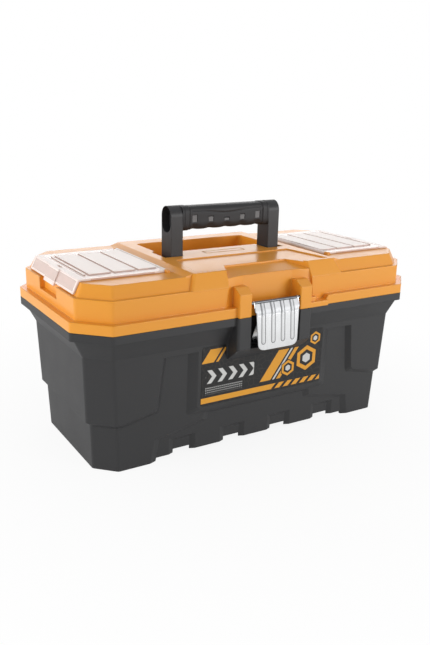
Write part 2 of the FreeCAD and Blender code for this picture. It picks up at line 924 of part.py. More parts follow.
def make_cover(side):
    """Clear cover: a plate with a raised field, a lip over the end and a snap tab."""
    raised = cover_field(0, cover_top - hairline, cover_top + cover_field_rise)
    under = cover_field(cover_skin, cover_under - overrun, cover_under + cover_field_rise)
    sleeve = rod_along_y(cover_barrel, -cover_barrel_half, cover_barrel_half, cover_axis_x, cover_axis_z)
    trim = box(cover_axis_x - cover_barrel, cover_axis_x + cover_barrel + face_gap,
               -cover_half - overrun, -cover_barrel_half, cover_under - overrun, cover_top + overrun)
    cover = joined(cover_shell() + [raised]).cut(both_y(trim))
    cover = joined([cover, sleeve]).cut(under)
    half = pocket_half - cover_field_margin
    reach = cover_groove / 2
    for index in range(divider_count + 1):
        centre = pocket_start + (index + 1) * divider_pitch - cover_groove_shift
        groove = box(centre - reach, centre + reach, -half - overrun, half + overrun,
                     cover_top, cover_top + 2 * cover_field_rise)
        rib = box(centre - reach - cover_skin, centre + reach + cover_skin, overrun - half,
                  half - overrun, cover_under, cover_top)
        cover = cover.cut(groove).fuse(rib)
    slot_x = end_x(organiser_top) - cover_slot_width - overrun
    slot = box(slot_x - cover_slot_width / 2, slot_x + cover_slot_width / 2, -cover_slot_length / 2,
               cover_slot_length / 2, cover_under - overrun, cover_top + overrun)
    bore = rod_along_y(cover_rod_radius + run_gap, -cover_half, cover_half, cover_axis_x, cover_axis_z)
    cover = cover.cut([slot, bore]).removeSplitter()
    return cover if side > 0 else mirror_x(cover)


def make_cover_rod(side):
    half = cover_barrel_half + face_gap + cover_boss_length - overrun
    return rod_along_y(cover_rod_radius, -half, half, side * cover_axis_x, cover_axis_z)


# Carrying handle

def capsule(radius, z_low, z_high, x0, x1):
    """Bar along X with a stadium section that stands upright about the handle's middle."""
    shaft = box(x0, x1, pivot_y - radius, pivot_y + radius, z_low, z_high)
    ends = [rod_along_x(radius, x0, x1, pivot_y, z) for z in (z_low, z_high)]
    return joined([shaft] + ends)


def grip_bar(height, depth, x0, x1, radius):
    middle = handle_top - grip_drop - grip_height / 2
    half_y = depth / 2
    half_z = height / 2
    points = [(pivot_y - half_y, middle - half_z), (pivot_y + half_y, middle - half_z),
              (pivot_y + half_y, middle + half_z), (pivot_y - half_y, middle + half_z)]
    return prism_yz(points, x0, x1, radius)


def grip_core():
    half = post_inner + overrun
    return grip_bar(core_height, core_depth, -half, half, core_round)


def make_handle_frame():
    radius = post_depth / 2
    hollow_radius = radius - cap_pocket_rim
    post = capsule(radius, pivot_z, handle_top - radius, post_inner, post_outer)
    hollow = capsule(hollow_radius, cap_pocket_foot + hollow_radius, handle_top - radius,
                     post_outer - cap_pocket_depth, post_outer + overrun)
    half = post_outer + overrun
    frame = joined([grip_core()] + both_x(post.cut(hollow)))
    return frame.cut(rod_along_x(pivot_radius + run_gap, -half, half, pivot_y, pivot_z))


def window_list():
    """Centre and height of each grip window: tall at the ends, short in the middle."""
    windows = []
    middle = (window_count - 1) / 2
    for index in range(window_count):
        share = abs(index - middle) / middle
        height = window_short + (window_tall - window_short) * share
        windows.append(((index - middle) * window_pitch, window_z - window_sag * (1 - share), height))
    return windows


def window_bar(x, z, height, depth):
    half_x = window_width / 2
    return box(x - half_x, x + half_x, pivot_y - depth / 2, pivot_y + depth / 2, z - height / 2, z + height / 2)


def make_grip_sleeve():
    collar = grip_bar(grip_height + 2 * collar_proud, grip_depth + collar_proud,
                      post_inner - collar_length, post_inner, grip_round)
    bar = grip_bar(grip_height, grip_depth, -post_inner, post_inner, grip_round)
    low = handle_top - grip_drop - grip_height
    cuts = [grip_core()]
    for index in range(scallop_count):
        x = (index - (scallop_count - 1) / 2) * scallop_pitch
        cuts.append(rod_along_y(scallop_radius, pivot_y - grip_depth, pivot_y + grip_depth,
                                x, low + scallop_depth - scallop_radius))
    cuts += [window_bar(x, z, height, 2 * grip_depth) for x, z, height in window_list()]
    return joined([bar] + both_x(collar)).cut(cuts)


def make_grip_insert():
    """Lighter strips that lie on the core and show through the windows, front and back."""
    depth = grip_depth - 2 * window_inset
    strips = [window_bar(x, z, height, depth).cut(grip_core()) for x, z, height in window_list()]
    return Part.makeCompound(strips)


def make_handle_pin(side):
    ends = sorted((side * (post_inner - well_gap - pin_seat), side * (well_wide_half + pin_seat)))
    return rod_along_x(pivot_radius, ends[0], ends[1], pivot_y, pivot_z)


# Latch

def lever_sheet():
    """The lever's bent sheet before its outline is cut."""
    front = [(lever_head_y, lever_head_z), (lever_knee_y, lever_knee_z), (lever_foot_y, lever_foot_z)]
    back = [(y + lever_skin, z) for y, z in reversed(front)]
    return prism_yz(front + back, -lever_top_half, lever_top_half)


def lever_rib(index):
    x = (index - (rib_count - 1) / 2) * rib_pitch
    outside = []
    for z in (lever_knee_z - rib_top_margin, lever_foot_z + rib_foot_margin):
        outside.append((lever_knee_y + lever_slope * (lever_knee_z - z) - rib_proud, z))
    inside = [(y + rib_proud + lever_skin / 2, z) for y, z in reversed(outside)]
    return prism_yz(outside + inside, x - rib_width / 2, x + rib_width / 2)


def lever_ear():
    """Ear that is folded back from the head and turns on the rod."""
    ends = (lever_top_half - lever_skin, lever_top_half)
    web = prism_yz([(lever_knee_y + lever_skin / 2, lever_knee_z + bite), (rod_y, rod_z - ear_radius),
                    (rod_y, rod_z), (lever_head_y + lever_skin / 2, lever_head_z)], *ends)
    return joined([web, rod_along_x(ear_radius, *ends, rod_y, rod_z)])


def make_latch_lever():
    knee = lever_knee_z - overrun
    outline = with_left([(lever_top_half, lever_head_z + overrun), (lever_top_half, lever_knee_z),
                         (lever_half, knee), (lever_foot_half, lever_foot_z)])
    round_foot = [lever_foot_round] + [0] * (len(outline) - 2) + [lever_foot_round]
    mask = prism_xz(outline, lever_foot_y - lever_skin, rod_y, round_foot)
    ribs = [lever_rib(index) for index in range(rib_count)]
    lever = joined([lever_sheet().common(mask)] + ribs + both_x(lever_ear()))
    half = lever_top_half + overrun
    return lever.cut(rod_along_x(rod_radius + run_gap, -half, half, rod_y, rod_z))


def leaf_y(z):
    """Where the back face of the lever lies at a height."""
    return lever_knee_y + lever_skin + lever_slope * (lever_knee_z - z)


def make_latch_leaf():
    """Spring leaf: flat where it is riveted to the lever, bent inward towards the catch."""
    points = [(leaf_y(leaf_top_z), leaf_top_z), (leaf_y(leaf_bend_z), leaf_bend_z),
              (leaf_tip_y - leaf_skin, leaf_tip_z), (leaf_tip_y, leaf_tip_z),
              (leaf_y(leaf_bend_z) + leaf_skin, leaf_bend_z + leaf_bend_rise),
              (leaf_y(leaf_top_z) + leaf_skin, leaf_top_z)]
    leaf = prism_yz(points, -leaf_half, leaf_half)
    start = leaf_y(rivet_z) - bite
    end = start + leaf_skin + 2 * overrun
    return leaf.cut([rod_along_y(rivet_radius, start, end, x, rivet_z) for x in (-rivet_x, rivet_x)])


def make_leaf_rivet(side):
    x = side * rivet_x
    start = leaf_y(rivet_z)
    head_start = start + leaf_skin + rivet_stand
    shank = rod_along_y(rivet_radius, start, head_start + hairline, x, rivet_z)
    head = rod_along_y(rivet_head, head_start, head_start + rivet_head_height, x, rivet_z)
    return joined([shank, head]).cut(lever_sheet())


def make_latch_rod():
    half = lug_inner + rod_seat
    return rod_along_x(rod_radius, -half, half, rod_y, rod_z)


# Sticker

def make_sticker():
    body = drafted(0, label_foot, cove_foot)
    coat = drafted(-sticker_skin, label_foot, cove_foot)
    notch = block_half + sticker_block_gap
    outline = [(-sticker_left, sticker_foot), (sticker_right, sticker_foot), (sticker_right, sticker_top),
               (notch, sticker_top), (notch, sticker_dip), (-notch, sticker_dip),
               (-notch, sticker_top), (-sticker_left, sticker_top)]
    region = prism_xz(outline, -half_width, 0, sticker_round)
    return coat.cut(body).common(region)


# Tray

def tray_outline(z, inward):
    lean = (tray_top - z) * tray_lean + inward
    return octagon(tray_half_x - lean, tray_half_y - lean, tray_cut, z)


def tray_walls():
    """Wall across the tray and the carrying ridge along its middle, with a gap for each hand."""
    half_skin = tray_skin / 2
    low = tray_foot + half_skin
    wall_half = tray_half_y - tray_skin - tray_depth * tray_lean
    wall = box(-half_skin, half_skin, -wall_half, wall_half, low, tray_top - tray_skin)
    spine = box(-tray_handle_half, tray_handle_half, -half_skin, half_skin, low, tray_handle_top)
    bar = box(-tray_handle_half, tray_handle_half, -tray_handle_width / 2, tray_handle_width / 2,
              tray_handle_top - tray_skin, tray_handle_top)
    gap = box(tray_handle_grip, tray_handle_half - tray_handle_grip, -tray_handle_width, tray_handle_width,
              tray_handle_top - tray_handle_gap, tray_handle_top - 2 * tray_skin)
    return [wall, joined([spine, bar]).cut(both_x(gap))]


def make_tray():
    """Open tray that stands on the brackets in the tub."""
    shell = tapered(tray_outline(tray_foot, 0), tray_outline(tray_top, 0), corner_round)
    rim = tapered(tray_outline(tray_top - tray_skin, -tray_rim), tray_outline(tray_top, -tray_rim), corner_round)
    hollow = tapered(tray_outline(tray_foot + tray_skin, tray_skin),
                     tray_outline(tray_top + overrun, tray_skin), corner_round - tray_skin)
    return joined([joined([shell, rim]).cut(hollow)] + tray_walls())


save("base_tub", make_base())
save("lid_shell", make_lid())
save("front_sticker", make_sticker())
save("inner_tray", make_tray())
save("latch_rod", make_latch_rod())
save("latch_lever", make_latch_lever())
save("latch_spring_leaf", make_latch_leaf())
save("handle_frame", make_handle_frame())
save("grip_sleeve", make_grip_sleeve())
save("grip_insert", make_grip_insert())
for side, word in ((-1, "left"), (1, "right")):
    save("hinge_pin_" + word, make_hinge_pin(side))
    save("leaf_rivet_" + word, make_leaf_rivet(side))
    save("handle_pin_" + word, make_handle_pin(side))
    save("organiser_cover_" + word, make_cover(side))
    save("cover_rod_" + word, make_cover_rod(side))
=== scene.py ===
# %% [markdown]
# A plastic tool box. Its moulded shells, pins and covers come ready made from the CAD model,
# which stands in this scene as a fixed frame. Blender adds the surfaces: the grain of the plastics,
# the bright sheet of the latch, the printed film on the front and the clear covers.

# %% Load the frame
import math

import bmesh
import bpy
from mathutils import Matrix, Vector


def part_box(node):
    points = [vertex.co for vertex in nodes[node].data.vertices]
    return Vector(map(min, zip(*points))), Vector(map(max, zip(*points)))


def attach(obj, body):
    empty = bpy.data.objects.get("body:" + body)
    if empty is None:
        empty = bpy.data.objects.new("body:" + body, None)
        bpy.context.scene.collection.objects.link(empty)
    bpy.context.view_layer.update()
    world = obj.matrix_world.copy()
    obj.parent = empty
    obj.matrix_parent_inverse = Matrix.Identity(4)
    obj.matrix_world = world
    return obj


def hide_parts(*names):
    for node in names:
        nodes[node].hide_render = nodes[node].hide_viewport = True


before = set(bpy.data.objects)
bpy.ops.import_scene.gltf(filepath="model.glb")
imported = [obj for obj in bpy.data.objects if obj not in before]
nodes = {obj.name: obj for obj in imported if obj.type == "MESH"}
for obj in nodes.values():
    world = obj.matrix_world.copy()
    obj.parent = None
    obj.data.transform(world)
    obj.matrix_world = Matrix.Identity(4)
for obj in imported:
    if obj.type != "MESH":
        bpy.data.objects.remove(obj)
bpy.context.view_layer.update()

# %% [markdown]
# Every material here is a small network of nodes. A few helpers keep each network short: one makes
# a node and sets its inputs, one links two sockets, and one turns a colour as it looks on a screen
# into the linear values that a shader works with.

# %% Helpers for materials


def linear(red, green, blue):
    """Screen colour, 0 to 255, as linear light."""
    values = [v / 255 for v in (red, green, blue)]
    return tuple(v / 12.92 if v <= 0.04045 else ((v + 0.055) / 1.055) ** 2.4 for v in values) + (1.0,)


def new_material(name):
    material = bpy.data.materials.new(name)
    material.use_nodes = True
    tree = material.node_tree
    shader = next(n for n in tree.nodes if n.type == "BSDF_PRINCIPLED")
    return material, tree, shader


def add(tree, kind, **inputs):
    node = tree.nodes.new(kind)
    for key, value in inputs.items():
        node.inputs[key.replace("_", " ")].default_value = value
    return node


def link(tree, source, output, target, socket):
    tree.links.new(source.outputs[output], target.inputs[socket])


def math_node(tree, operation, first, second=None, third=None, clamp=False):
    """A Math node; its inputs are numbers or (node, output) pairs. Returns its own pair."""
    node = tree.nodes.new("ShaderNodeMath")
    node.operation = operation
    node.use_clamp = clamp
    for index, value in enumerate((first, second, third)):
        if isinstance(value, tuple):
            tree.links.new(value[0].outputs[value[1]], node.inputs[index])
        elif value is not None:
            node.inputs[index].default_value = value
    return node, 0


def noise(tree, scale, detail=2.0, roughness=0.5, vector=None):
    node = add(tree, "ShaderNodeTexNoise", Scale=scale, Detail=detail, Roughness=roughness)
    if vector is not None:
        tree.links.new(vector[0].outputs[vector[1]], node.inputs["Vector"])
    return node


def coordinates(tree):
    """Object coordinates: metres in the frame, which move along with the piece."""
    return tree.nodes.new("ShaderNodeTexCoord"), "Object"


def axes(tree):
    """The three Object coordinates, each as its own pair."""
    place = coordinates(tree)
    split = tree.nodes.new("ShaderNodeSeparateXYZ")
    tree.links.new(place[0].outputs[place[1]], split.inputs[0])
    return (split, 0), (split, 1), (split, 2)


def mix_colour(tree, share, first, second):
    """Mix of two colours; each is a tuple of four numbers or a (node, output) pair."""
    node = tree.nodes.new("ShaderNodeMix")
    node.data_type = "RGBA"
    for socket, value in ((0, share), (6, first), (7, second)):
        if isinstance(value, tuple) and len(value) == 2:
            tree.links.new(value[0].outputs[value[1]], node.inputs[socket])
        else:
            node.inputs[socket].default_value = value
    return node, 2


def feed(tree, pair, shader, socket):
    tree.links.new(pair[0].outputs[pair[1]], shader.inputs[socket])


def paint(obj, material):
    obj.data.materials.clear()
    obj.data.materials.append(material)


print("helpers ready")

# %% [markdown]
# Moulded plastic isn't one flat colour. The steel mould is spark eroded, which leaves a fine grain
# on every face, and handling polishes the edges a little. So each plastic gets grain in its bump,
# slow drifts in roughness and tone, and edges that a Bevel node rounds for the light, as a mould's
# edges are. Where that rounded normal leaves the face's own normal, the surface is an edge. It is
# smoother there, and its colour is a touch lighter, partly as wear and partly as a painted highlight.

# %% Moulded plastic


def moulded_plastic(name, colour, rough, grain, edge, lift=0.05, wear_and_highlight=0.25, gloss=0.5):
    material, tree, shader = new_material(name)
    place = coordinates(tree)
    drift = noise(tree, 9.0, 3.0, 0.5, place)
    dark = tuple(v * (1 - lift) for v in colour[:3]) + (1.0,)
    light = tuple(v * (1 + lift) for v in colour[:3]) + (1.0,)
    tone = mix_colour(tree, (drift, "Fac"), dark, light)

    bevel = add(tree, "ShaderNodeBevel", Radius=edge)
    bevel.samples = 6
    geometry = tree.nodes.new("ShaderNodeNewGeometry")
    turn = tree.nodes.new("ShaderNodeVectorMath")
    turn.operation = "DOT_PRODUCT"
    link(tree, bevel, "Normal", turn, 0)
    link(tree, geometry, "Normal", turn, 1)
    # Edge mask: a paler colour on edges, partly wear and partly a painted highlight, and less
    # roughness.
    worn_and_highlit = math_node(tree, "SUBTRACT", 1.0, (turn, "Value"), clamp=True)
    worn_and_highlit = math_node(tree, "MULTIPLY", worn_and_highlit, 2.5 * wear_and_highlight, clamp=True)
    pale = tuple(min(1.0, v * 1.5 + 0.01) for v in colour[:3]) + (1.0,)
    tone = mix_colour(tree, worn_and_highlit, tone, pale)
    feed(tree, tone, shader, "Base Color")

    smudge = noise(tree, 32.0, 4.0, 0.6, place)
    spread = math_node(tree, "MULTIPLY", (smudge, "Fac"), 0.12)
    level = math_node(tree, "ADD", spread, rough - 0.06)
    feed(tree, math_node(tree, "MULTIPLY_ADD", worn_and_highlit, -0.3, level), shader, "Roughness")
    fine = noise(tree, 2600.0, 2.0, 0.6, place)
    bump = add(tree, "ShaderNodeBump", Strength=grain, Distance=0.0002)
    link(tree, fine, "Fac", bump, "Height")
    link(tree, bevel, "Normal", bump, "Normal")
    link(tree, bump, "Normal", shader, "Normal")
    shader.inputs["Specular IOR Level"].default_value = gloss
    return material


orange = moulded_plastic("lid_plastic_orange", linear(234, 156, 50), 0.30, 0.10, 0.0014, gloss=0.45)
charcoal = moulded_plastic("tub_plastic_charcoal", linear(52, 52, 53), 0.48, 0.25, 0.0012, gloss=0.35)
black = moulded_plastic("handle_plastic_black", linear(48, 48, 50), 0.42, 0.20, 0.0010, gloss=0.35)
soft_black = moulded_plastic("grip_plastic_black", linear(44, 44, 46), 0.50, 0.30, 0.0004, gloss=0.3)
insert_grey = moulded_plastic("insert_plastic_grey", linear(98, 98, 100), 0.45, 0.15, 0.0004)
tray_black = moulded_plastic("tray_plastic_black", linear(46, 46, 48), 0.5, 0.3, 0.0010, gloss=0.35)
paint(nodes["base_tub"], charcoal)
paint(nodes["lid_shell"], orange)
paint(nodes["handle_frame"], black)
paint(nodes["inner_tray"], tray_black)
paint(nodes["grip_insert"], insert_grey)
print("plastics", orange.name, charcoal.name, black.name, soft_black.name, insert_grey.name)

# %% [markdown]
# The pins, the latch rod and the cover rods are cut from drawn steel wire. Drawing leaves fine lines
# along the wire, which stretched noise gives: a Mapping node squeezes the noise across the wire and
# stretches it along. The latch itself is stamped from bright plated sheet, which is smoother and has
# only faint rolling marks.

# %% Metals


def drawn_metal(name, colour, rough, stretch, strength):
    material, tree, shader = new_material(name)
    place = coordinates(tree)
    mapping = tree.nodes.new("ShaderNodeMapping")
    tree.links.new(place[0].outputs[place[1]], mapping.inputs["Vector"])
    mapping.inputs["Scale"].default_value = stretch
    lines = noise(tree, 900.0, 3.0, 0.6, (mapping, "Vector"))
    cloud = noise(tree, 60.0, 3.0, 0.55, place)
    dark = tuple(v * 0.86 for v in colour[:3]) + (1.0,)
    feed(tree, mix_colour(tree, (cloud, "Fac"), dark, colour), shader, "Base Color")
    level = math_node(tree, "MULTIPLY_ADD", (lines, "Fac"), 0.16, rough - 0.08)
    feed(tree, level, shader, "Roughness")
    bump = add(tree, "ShaderNodeBump", Strength=strength, Distance=0.00005)
    link(tree, lines, "Fac", bump, "Height")
    link(tree, bump, "Normal", shader, "Normal")
    shader.inputs["Metallic"].default_value = 1.0
    return material


wire_x = drawn_metal("steel_wire_along_x", linear(176, 178, 180), 0.30, (0.05, 1.0, 1.0), 0.5)
rod_wire = drawn_metal("steel_rod_dark", linear(112, 114, 118), 0.42, (0.05, 1.0, 1.0), 0.5)
wire_y = drawn_metal("steel_wire_along_y", linear(176, 178, 180), 0.30, (1.0, 0.05, 1.0), 0.5)
plated = drawn_metal("latch_plated_sheet", linear(226, 227, 228), 0.20, (1.0, 1.0, 0.04), 0.25)
for side in ("left", "right"):
    paint(nodes["hinge_pin_" + side], wire_x)
    paint(nodes["handle_pin_" + side], wire_x)
    paint(nodes["cover_rod_" + side], wire_y)
    paint(nodes["leaf_rivet_" + side], plated)
paint(nodes["latch_rod"], rod_wire)
paint(nodes["latch_spring_leaf"], plated)
print("metals", wire_x.name, wire_y.name, plated.name)

# %% [markdown]
# The organiser covers are clear styrene. Their flat frame lets the orange lid show through, while
# the raised lanes and the rims are frosted and look milky. The grooves between the lanes and the
# lanes' side walls are painted a darker rosy colour: painted shade, with a painted shine of the
# orange lid through the plastic. Separate materials would need the faces of the moulding sorted by
# hand.
# One material does it all here: masks on the place of a point tell the lanes, which stand highest,
# from the rims, the grooves and the clear frame. Every edge is measured from the cover's own box.

# %% Clear covers
cover_low, cover_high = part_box("organiser_cover_left")
cover_top = cover_high[2]
lane_floor = cover_top - 0.0009
corner_floor = cover_top - 0.0032
lip_foot_top = cover_low[2] + 0.0038
rim_edge = cover_high[1] - 0.0038
groove_end = cover_high[1] - 0.0140
hinge_edge = 0.0065 - cover_high[0]
groove_near = 0.0150 - cover_high[0]
groove_far = -0.0200 - cover_low[0]
corner_edge = -0.0158 - cover_low[0]
lip_edge = -0.0145 - cover_low[0]
edge_soft = 0.0006
print("cover top at", round(cover_top, 4), "rim from", round(rim_edge, 4))


def step_up(tree, value, start, soft):
    """Mask that rises from 0 to 1 where a value passes a start."""
    return math_node(tree, "MULTIPLY_ADD", value, 1 / soft, -start / soft, clamp=True)


def step_down(tree, value, start, soft):
    """Mask that falls from 1 to 0 where a value passes a start."""
    return math_node(tree, "SUBTRACT", 1.0, step_up(tree, value, start, soft), clamp=True)


def both(tree, first, second):
    return math_node(tree, "MULTIPLY", first, second)


def cover_masks(tree):
    """Masks of the lanes, of the low parts between them, which get painted shade and a painted shine
    of the lid, and of all that is milky.
    """
    x, y, z = axes(tree)
    across = math_node(tree, "ABSOLUTE", x)
    beside = math_node(tree, "ABSOLUTE", y)
    lanes = step_up(tree, z, lane_floor, 0.0004)
    rim = step_up(tree, beside, rim_edge, edge_soft)
    hinge_side = step_down(tree, across, hinge_edge, edge_soft)
    lip_foot = step_down(tree, z, lip_foot_top, edge_soft)
    corner = both(tree, step_up(tree, across, corner_edge, edge_soft),
                  step_up(tree, z, corner_floor, edge_soft))
    span = both(tree, step_up(tree, across, groove_near, edge_soft),
                step_down(tree, across, groove_far, edge_soft))
    within = step_down(tree, beside, groove_end, edge_soft)
    grooves = both(tree, both(tree, within, span), 0.8)
    lip = both(tree, step_up(tree, across, lip_edge, 0.001), 0.3)
    facing = tree.nodes.new("ShaderNodeSeparateXYZ")
    link(tree, coordinates(tree)[0], "Normal", facing, 0)
    upright = math_node(tree, "SUBTRACT", 0.6, math_node(tree, "ABSOLUTE", (facing, 2)))
    walls = both(tree, step_up(tree, upright, 0.0, 0.2), span)
    milk = lanes
    for part in (rim, hinge_side, lip_foot, corner):
        milk = math_node(tree, "MAXIMUM", milk, both(tree, part, 0.8))
    for part in (grooves, lip, walls):
        milk = math_node(tree, "MAXIMUM", milk, part)
    groove_shade_and_lid_shine = math_node(tree, "MAXIMUM", grooves, walls)
    return math_node(tree, "SUBTRACT", groove_shade_and_lid_shine, lanes, clamp=True), milk


def clear_plastic(name):
    material, tree, shader = new_material(name)
    place = coordinates(tree)
    groove_shade_and_lid_shine, milk = cover_masks(tree)
    cloud = noise(tree, 45.0, 3.0, 0.5, place)
    haze = math_node(tree, "MULTIPLY", (cloud, "Fac"), 0.08)
    through = math_node(tree, "MULTIPLY_ADD", milk, -0.46, 0.56)
    feed(tree, math_node(tree, "SUBTRACT", through, haze), shader, "Transmission Weight")
    rough = math_node(tree, "MULTIPLY_ADD", milk, 0.2, 0.12)
    feed(tree, math_node(tree, "ADD", rough, haze), shader, "Roughness")
    colour = mix_colour(tree, milk, linear(252, 228, 218), linear(255, 242, 236))
    # The low parts get a darker rosy colour: painted shade and a painted shine of the orange lid.
    colour = mix_colour(tree, groove_shade_and_lid_shine, colour, linear(226, 194, 180))
    feed(tree, colour, shader, "Base Color")
    fine = noise(tree, 1500.0, 2.0, 0.6, place)
    bump = add(tree, "ShaderNodeBump", Strength=0.08, Distance=0.0002)
    link(tree, fine, "Fac", bump, "Height")
    link(tree, bump, "Normal", shader, "Normal")
    shader.inputs["IOR"].default_value = 1.49
    return material


clear = clear_plastic("cover_clear_plastic")
for side in ("left", "right"):
    paint(nodes["organiser_cover_" + side], clear)

# %% [markdown]
# The front label is a printed film. An image could carry the print, but masks stay sharp at any
# distance and need no file. So the print is built from plain masks on the piece's own X and Z:
# bands, slanted bands and hexagon rings, each a few Math nodes. The masks are laid over each other
# from the back to the front, as a printer lays down inks.

# %% Printed film
film_low, film_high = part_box("front_sticker")
film_left, film_right = film_low[0], film_high[0]
bar_lean = 0.7
high_bars = (0.0985, 0.1125)
tall_bars = (0.0660, 0.1105)
foot_band = (0.0552, 0.0612)
dot_band = (0.0645, 0.0725)
arrow_z = 0.0835
arrow_half = 0.0072
arrow_pitch = 0.0125
stripe_pitch = 0.011
rings = (((0.0560, 0.0835), 0.0135), ((0.0320, 0.0760), 0.0085), ((0.0665, 0.1045), 0.0070))
print("film from", [round(v, 4) for v in film_low], "to", [round(v, 4) for v in film_high])


def band(tree, value, start, end, soft=0.00025):
    """Mask that is one between two values, with soft edges."""
    rise = math_node(tree, "MULTIPLY_ADD", value, 1 / soft, 0.5 - start / soft, clamp=True)
    fall = math_node(tree, "MULTIPLY_ADD", value, -1 / soft, 0.5 + end / soft, clamp=True)
    return math_node(tree, "MULTIPLY", rise, fall)


def slanted(tree, across, upward, lean):
    """Coordinate across the film that leans over with height."""
    return math_node(tree, "MULTIPLY_ADD", upward, -lean, across)


def hexagon(tree, across, upward, centre, size):
    """Distance from a centre as a hexagon measures it, so that a band on it is a hexagon ring."""
    dx = math_node(tree, "ABSOLUTE", math_node(tree, "SUBTRACT", across, centre[0]))
    dz = math_node(tree, "ABSOLUTE", math_node(tree, "SUBTRACT", upward, centre[1]))
    slope = math_node(tree, "MULTIPLY_ADD", dx, 0.5, math_node(tree, "MULTIPLY", dz, 0.866))
    return math_node(tree, "DIVIDE", math_node(tree, "MAXIMUM", slope, dx), size)


def print_layers(tree, place, x, z, amber, ink, pale):
    """The printed motifs from the back to the front, each as a mask and its ink."""
    lean = slanted(tree, x, z, bar_lean)
    middle = math_node(tree, "ABSOLUTE", math_node(tree, "SUBTRACT", z, arrow_z))
    arrow = math_node(tree, "DIVIDE", slanted(tree, x, middle, -0.8), arrow_pitch)
    arrow = math_node(tree, "FRACT", arrow)
    dots = add(tree, "ShaderNodeTexVoronoi", Scale=420.0, Randomness=0.0)
    feed(tree, place, dots, "Vector")
    hatch = math_node(tree, "DIVIDE", slanted(tree, x, z, 1.0), stripe_pitch)
    hatch = math_node(tree, "FRACT", hatch)
    tall = band(tree, z, *tall_bars)
    high = band(tree, z, *high_bars)
    foot = band(tree, z, *foot_band)
    chevrons = both(tree, band(tree, arrow, 0.0, 0.42, 0.04), band(tree, middle, -1.0, arrow_half))
    grid = both(tree, band(tree, (dots, "Distance"), -1.0, 0.28, 0.08), band(tree, z, *dot_band))
    stripes = both(tree, band(tree, hatch, 0.0, 0.42, 0.03), foot)
    layers = [
        (both(tree, band(tree, lean, -0.1440, -0.1300), high), amber),
        (both(tree, band(tree, lean, -0.1275, -0.1245), high), amber),
        (both(tree, chevrons, band(tree, x, -0.0700, -0.0120)), pale),
        (both(tree, grid, band(tree, x, -0.0700, -0.0260)), pale),
        (both(tree, band(tree, lean, -0.0500, -0.0365), tall), amber),
        (both(tree, band(tree, lean, -0.0340, -0.0315), tall), pale),
        (both(tree, band(tree, lean, -0.0290, -0.0240), tall), amber),
        (both(tree, band(tree, x, film_left, film_right), foot), amber),
        (both(tree, stripes, band(tree, x, 0.0120, film_right)), ink),
    ]
    for centre, size in rings:
        ring = hexagon(tree, x, z, centre, size)
        layers.append((band(tree, ring, -1.0, 1.04, 0.03), ink))
        layers.append((band(tree, ring, 0.62, 0.92, 0.03), amber))
        layers.append((band(tree, ring, -1.0, 0.36, 0.04), pale))
    return layers


def printed_film(name):
    material, tree, shader = new_material(name)
    x, _, z = axes(tree)
    place = coordinates(tree)
    ink = linear(26, 26, 27)
    cells = add(tree, "ShaderNodeTexVoronoi", Scale=150.0)
    cells.feature = "DISTANCE_TO_EDGE"
    feed(tree, place, cells, "Vector")
    web = band(tree, (cells, "Distance"), -1.0, 0.035, 0.03)
    colour = mix_colour(tree, both(tree, web, 0.35), ink, linear(70, 64, 58))
    amber = linear(226, 158, 48)
    pale = linear(206, 206, 204)
    for mask, tint in print_layers(tree, place, x, z, amber, ink, pale):
        colour = mix_colour(tree, mask, colour, tint)
    feed(tree, colour, shader, "Base Color")

    cloud = noise(tree, 55.0, 3.0, 0.5, place)
    feed(tree, math_node(tree, "MULTIPLY_ADD", (cloud, "Fac"), 0.14, 0.24), shader, "Roughness")
    fine = noise(tree, 700.0, 2.0, 0.5, place)
    bump = add(tree, "ShaderNodeBump", Strength=0.06, Distance=0.0002)
    link(tree, fine, "Fac", bump, "Height")
    link(tree, bump, "Normal", shader, "Normal")
    shader.inputs["Specular IOR Level"].default_value = 0.4
    return material


film = printed_film("label_printed_film")
paint(nodes["front_sticker"], film)
print("film nodes", len(film.node_tree.nodes))

# %% [markdown]
# A thin groove frames the blank plate on the roof between the handle's posts. The groove itself is in
# the moulding, but so little light gets into it that it should read as a dark line. Masks like those
# of the printed film deepen the lid's orange there, which costs no extra mesh.

# %% Plate groove
lid_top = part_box("lid_shell")[1][2]
plate_half_x = 0.0253
plate_front = -0.0108
plate_back = 0.0008
plate_floor = lid_top - 0.0013


def deepen_groove(material):
    tree = material.node_tree
    shader = next(n for n in tree.nodes if n.type == "BSDF_PRINCIPLED")
    x, y, z = axes(tree)
    inside = both(tree, band(tree, x, -plate_half_x, plate_half_x),
                  band(tree, y, plate_front, plate_back))
    inside = both(tree, inside, band(tree, z, plate_floor, lid_top - 0.0003, 0.0002))
    before = shader.inputs["Base Color"].links[0].from_socket
    deep = mix_colour(tree, inside, linear(234, 156, 50), linear(188, 104, 20))
    tree.links.new(before, deep[0].inputs[6])
    feed(tree, deep, shader, "Base Color")


deepen_groove(orange)
print("plate groove below", round(lid_top, 4))

# %% [markdown]
# The grip is a soft sleeve with collars at its ends, five windows that show a grey core, finger
# hollows below them and a groove that waves above them. It could be sculpted, but a displaced grid
# keeps every form at its measured place: the points run round the bar and along it, and one rule
# moves each point in or out.

# %% Helpers for meshes


def smooth(value, start, end):
    """Goes from 0 to 1 between two values, without corners."""
    share = min(1.0, max(0.0, (value - start) / (end - start)))
    return share * share * (3 - 2 * share)


def make_mesh(name, points, faces, material):
    mesh = bpy.data.meshes.new(name)
    mesh.from_pydata([tuple(p) for p in points], [], faces)
    mesh.validate()
    obj = bpy.data.objects.new(name, mesh)
    bpy.context.scene.collection.objects.link(obj)
    mesh.materials.append(material)
    bm = bmesh.new()
    bm.from_mesh(mesh)
    bmesh.ops.recalc_face_normals(bm, faces=bm.faces)
    bm.to_mesh(mesh)
    bm.free()
    return obj


